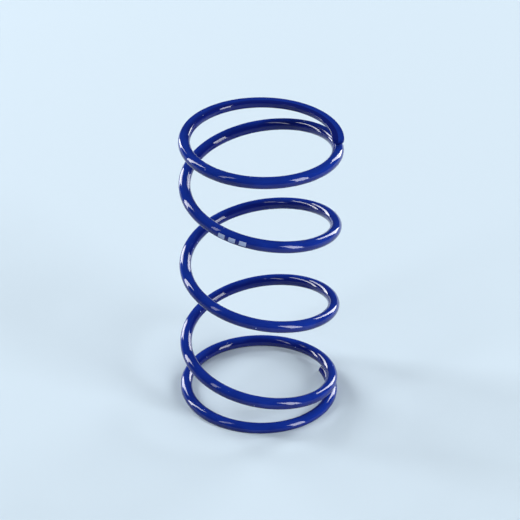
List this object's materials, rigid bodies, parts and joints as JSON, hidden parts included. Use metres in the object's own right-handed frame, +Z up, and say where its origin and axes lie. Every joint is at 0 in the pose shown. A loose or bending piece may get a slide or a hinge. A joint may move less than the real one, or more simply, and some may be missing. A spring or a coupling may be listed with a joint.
{
  "type": "helical compression spring",
  "caption": "Left-hand helical compression spring of blue coated round wire, with closed and ground ends that seat flat and push two faces apart.",
  "frame": {"origin": "on the coil's axis, in the plane of the lower ground end", "axes": "+Z up along the coil's axis; +X through the upper tip, where the wire begins"},
  "size_m": [0.0604, 0.0604, 0.1115],
  "materials": {
    "blue_coating": "gloss"
  },
  "bodies": {
    "root": {"spring": "blue_coating"}
  },
  "joints": []
}
